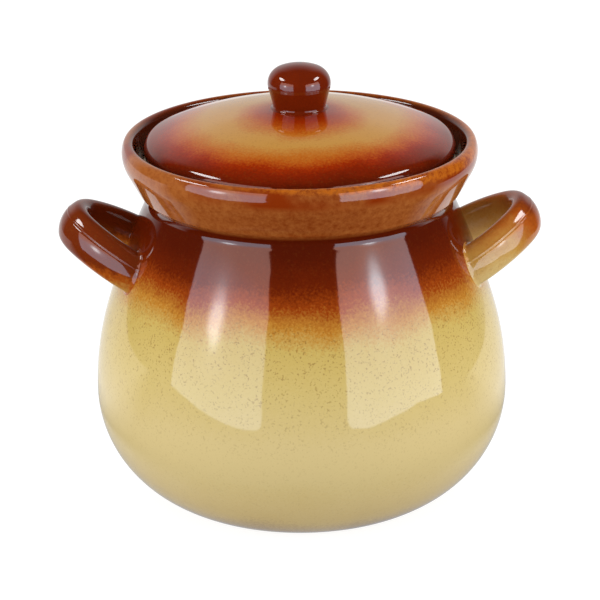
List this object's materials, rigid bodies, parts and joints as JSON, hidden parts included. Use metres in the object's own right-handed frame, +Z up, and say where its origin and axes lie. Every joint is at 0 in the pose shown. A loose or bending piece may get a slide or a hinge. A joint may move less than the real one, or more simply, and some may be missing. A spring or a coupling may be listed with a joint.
{
  "type": "bean pot",
  "caption": "Round stoneware bean pot with a wide belly, a flared collar, two strap handles and a loose domed lid with a knob.",
  "frame": {"origin": "centre of the foot's face, on the pot's turning axis", "axes": "+Z up along the turning axis, +X towards the right handle, front of the pot towards -Y"},
  "size_m": [0.2436, 0.21, 0.221],
  "materials": {
    "pot_glaze": "gloss",
    "handle_glaze": "gloss",
    "lid_glaze": "gloss",
    "knob_glaze": "gloss"
  },
  "bodies": {
    "pot": {"pot_body": "pot_glaze", "left_handle": "handle_glaze", "right_handle": "handle_glaze"},
    "lid": {"lid": "lid_glaze", "lid_knob": "knob_glaze"}
  },
  "joints": [
    {"name": "lid_lift", "type": "slide", "parent": "pot", "child": "lid", "axis": [0, 0, 1], "range_m": [0, 0.16]}
  ]
}
